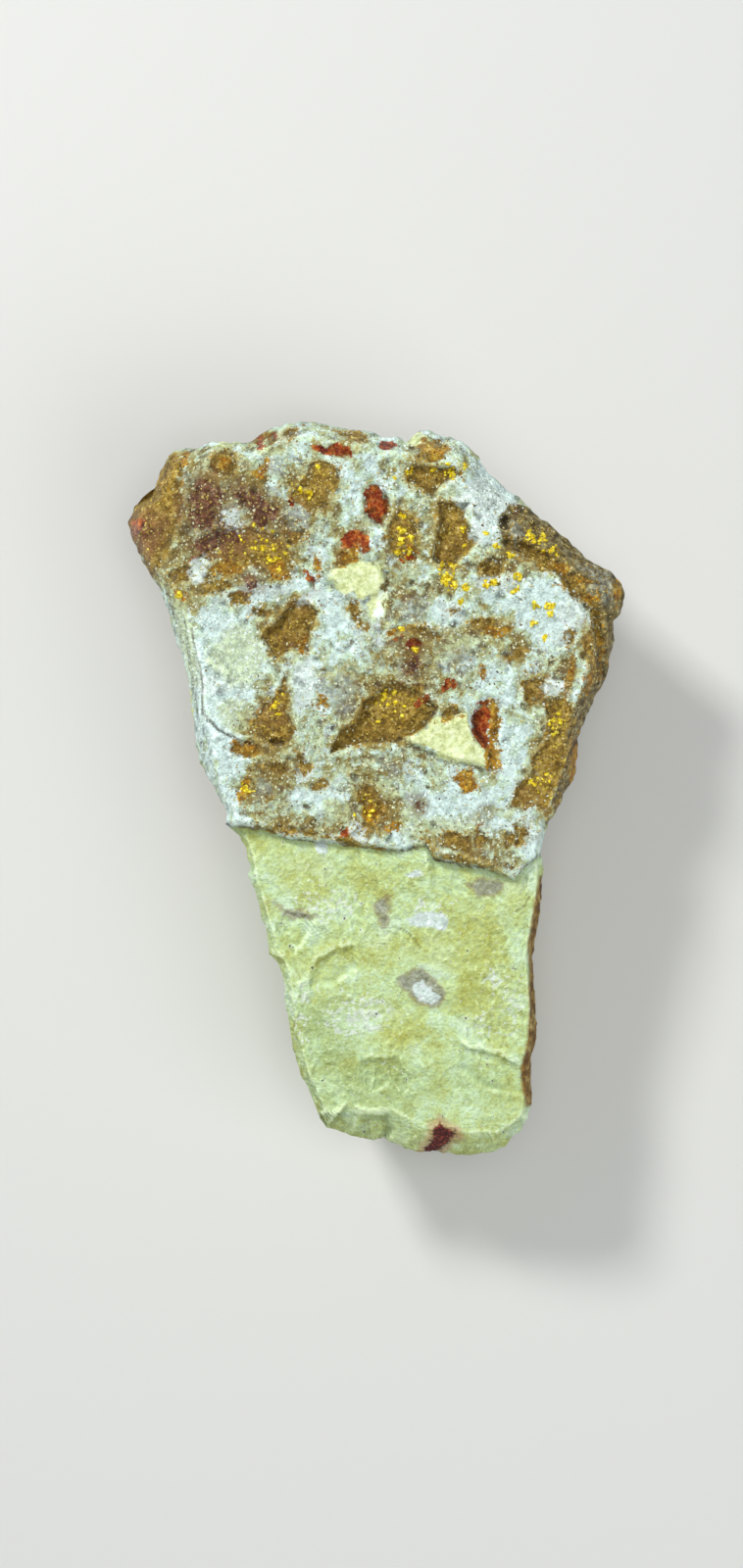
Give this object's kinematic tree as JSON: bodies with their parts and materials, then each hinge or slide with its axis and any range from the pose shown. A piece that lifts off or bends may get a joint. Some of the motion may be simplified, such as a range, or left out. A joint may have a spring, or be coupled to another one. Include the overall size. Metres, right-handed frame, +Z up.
{
  "type": "mineral specimen",
  "caption": "Broken hand-sized stone: a quartz mass with gold grains standing a step proud of a smoother cream wall rock, lying on its flat face.",
  "frame": {"origin": "centre of the footprint, at the height of the surface the stone lies on", "axes": "+X to the right of the face seen in the picture, +Y along the stone towards its wide quartz end, +Z up, out of the face seen in the picture"},
  "size_m": [0.0634, 0.0938, 0.0276],
  "materials": {
    "rock": "matt broken quartz and cream wall rock, with brown and red iron stains and gold grains"
  },
  "bodies": {
    "root": {"stone": "rock"}
  },
  "joints": []
}
